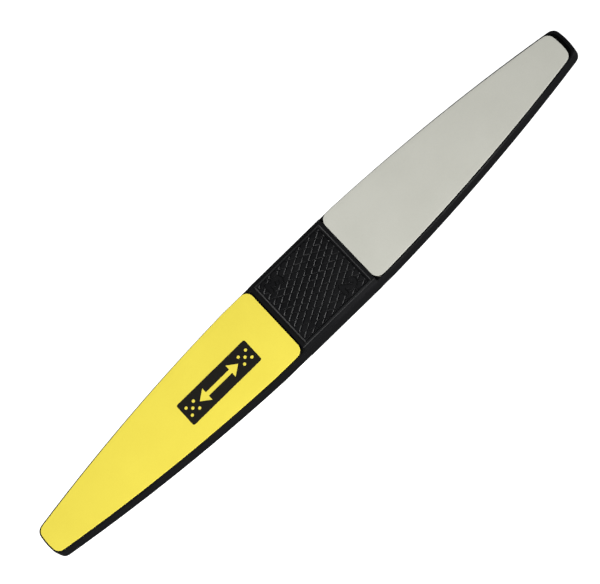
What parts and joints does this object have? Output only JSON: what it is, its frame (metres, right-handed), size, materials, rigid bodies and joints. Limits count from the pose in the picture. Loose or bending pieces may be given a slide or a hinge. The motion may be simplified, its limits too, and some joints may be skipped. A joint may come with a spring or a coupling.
{
  "type": "sanding stick",
  "caption": "Flat boat-shaped hand sanding stick with a raised knurled grip in the middle and foam-backed abrasive pads on both faces of both arms.",
  "frame": {"origin": "the centre of the stick from tip to tip, midway between its two faces", "axes": "+X along the stick towards pads 1 and 2, +Y across it, +Z out of the face that carries pads 2 and 3"},
  "size_m": [0.178, 0.0228, 0.0068],
  "materials": {
    "handle": "satin moulded black plastic",
    "tape": "thin double-sided tape, matt",
    "foam": "dense closed-cell foam, matt",
    "abrasive_charcoal": "coated abrasive sheet, matt, coarse grain",
    "abrasive_grey": "coated abrasive sheet, matt, fine grain",
    "abrasive_yellow": "coated abrasive sheet, matt, fine grain",
    "abrasive_white": "polishing sheet, matt, very fine grain"
  },
  "bodies": {
    "root": {"handle_core": "handle", "mounting_tape_1": "tape", "foam_pad_1": "foam", "abrasive_sheet_1": "abrasive_charcoal", "mounting_tape_2": "tape", "foam_pad_2": "foam", "abrasive_sheet_2": "abrasive_grey", "mounting_tape_3": "tape", "foam_pad_3": "foam", "abrasive_sheet_3": "abrasive_yellow", "mounting_tape_4": "tape", "foam_pad_4": "foam", "abrasive_sheet_4": "abrasive_white"}
  },
  "joints": []
}
